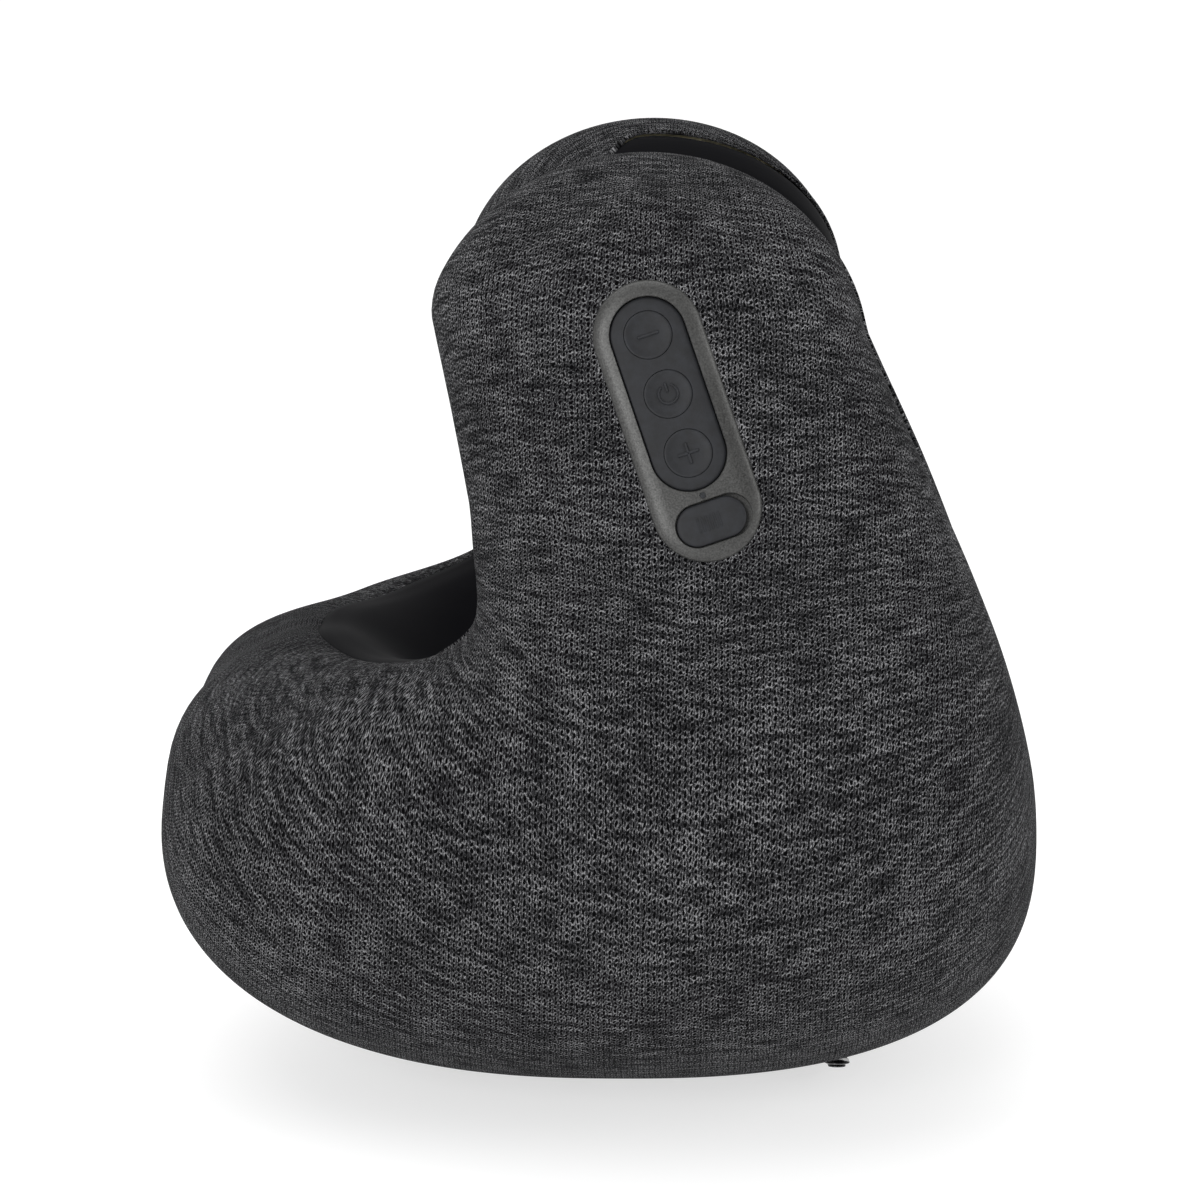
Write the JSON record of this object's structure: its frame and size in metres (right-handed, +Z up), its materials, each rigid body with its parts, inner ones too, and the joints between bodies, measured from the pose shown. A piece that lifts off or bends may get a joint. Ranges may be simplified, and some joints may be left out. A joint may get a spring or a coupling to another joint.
{
  "type": "neck massager pillow",
  "caption": "U-shaped knitted neck pillow with heated kneading heads in its bend, smooth neck lining, keypad and charge port on one arm.",
  "frame": {"origin": "middle of the flat patch under the bend on which the pillow stands, on the floor", "axes": "+Z up towards the arm tips, +X along the wearer's neck towards the shoulders, +Y across the neck towards the arm with no controls"},
  "size_m": [0.2156, 0.2236, 0.2321],
  "materials": {
    "knit": "charcoal melange rib knit, matte",
    "lining": "smooth black coated lining, satin",
    "foam": "open-cell polyurethane foam",
    "black_plastic": "moulded black ABS",
    "black_enamel": "gloss black enamelled zip metal",
    "bezel_paint": "satin grey painted ABS",
    "rubber": "moulded silicone, matte",
    "lens": "clear light guide",
    "steel": "turned and drawn steel",
    "brass": "sintered bush metal",
    "acetal": "natural acetal",
    "board": "green solder mask",
    "cell_wrap": "shrink sleeve",
    "heater": "copper-coloured film",
    "node_plastic": "translucent red moulded plastic"
  },
  "bodies": {
    "pillow": {"knit_cover": "knit", "neck_lining": "lining", "foam_core": "foam", "zip_chain": "black_plastic", "control_bezel": "bezel_paint", "keypad_frame": "rubber", "switch_minus": "black_plastic", "switch_power": "black_plastic", "switch_plus": "black_plastic", "led_lens": "lens", "charge_port": "steel", "charge_port_tongue": "black_plastic", "control_board": "board", "control_tray": "black_plastic", "battery_tray": "black_plastic", "battery_lid": "black_plastic", "battery_cell_lower": "cell_wrap", "battery_cell_upper": "cell_wrap", "gear_housing_lower": "black_plastic", "gear_housing_upper": "black_plastic", "housing_screw_near_1": "steel", "housing_screw_near_2": "steel", "housing_screw_far_1": "steel", "housing_screw_far_2": "steel", "head_bush_near": "brass", "head_bush_far": "brass", "motor_can": "steel", "motor_end_cap": "black_plastic", "heating_film_near": "heater", "heating_film_far": "heater", "wiring_harness": "black_plastic", "motor_lead": "black_plastic"},
    "key_minus": {"key_minus": "rubber"},
    "key_power": {"key_power": "rubber"},
    "key_plus": {"key_plus": "rubber"},
    "port_flap": {"port_flap": "rubber"},
    "zip_slider": {"zip_slider": "black_enamel", "zip_pull": "black_enamel"},
    "worm": {"drive_worm": "steel"},
    "head_near": {"worm_wheel_near": "acetal", "head_shaft_near": "steel", "head_plate_near": "black_plastic", "massage_node_near_a": "node_plastic", "massage_node_near_b": "node_plastic"},
    "head_far": {"worm_wheel_far": "acetal", "head_shaft_far": "steel", "head_plate_far": "black_plastic", "massage_node_far_a": "node_plastic", "massage_node_far_b": "node_plastic"}
  },
  "joints": [
    {"name": "key_minus_press", "type": "slide", "parent": "pillow", "child": "key_minus", "axis": [0, 0.9787, -0.2053], "range_m": [0, 0.0006], "stiffness_N_per_m": 600, "springref_m": -0.0005},
    {"name": "key_power_press", "type": "slide", "parent": "pillow", "child": "key_power", "axis": [0, 0.9787, -0.2053], "range_m": [0, 0.0006], "stiffness_N_per_m": 600, "springref_m": -0.0005},
    {"name": "key_plus_press", "type": "slide", "parent": "pillow", "child": "key_plus", "axis": [0, 0.9787, -0.2053], "range_m": [0, 0.0006], "stiffness_N_per_m": 600, "springref_m": -0.0005},
    {"name": "flap_hinge", "type": "hinge", "parent": "pillow", "child": "port_flap", "pos_m": [0.01973, -0.11246, 0.15322], "axis": [0.3272, -0.194, -0.9248], "range_deg": [0, 100]},
    {"name": "zip_slide", "type": "hinge", "parent": "pillow", "child": "zip_slider", "pos_m": [0.0595, 0, 0.136], "axis": [1, 0, 0], "range_deg": [0, 32]},
    {"name": "worm_spin", "type": "hinge", "parent": "pillow", "child": "worm", "pos_m": [0.014, 0, 0.0415], "axis": [1, 0, 0], "continuous": true},
    {"name": "head_near_spin", "type": "hinge", "parent": "pillow", "child": "head_near", "pos_m": [0.014, -0.03282, 0.05476], "axis": [0, 0.3746, 0.9272], "continuous": true},
    {"name": "head_far_spin", "type": "hinge", "parent": "pillow", "child": "head_far", "pos_m": [0.014, 0.03282, 0.05476], "axis": [0, -0.3746, 0.9272], "continuous": true}
  ],
  "couplings": [
    {"joint": "worm_spin", "follows": "head_near_spin", "ratio": -24},
    {"joint": "head_far_spin", "follows": "head_near_spin", "ratio": -1}
  ]
}
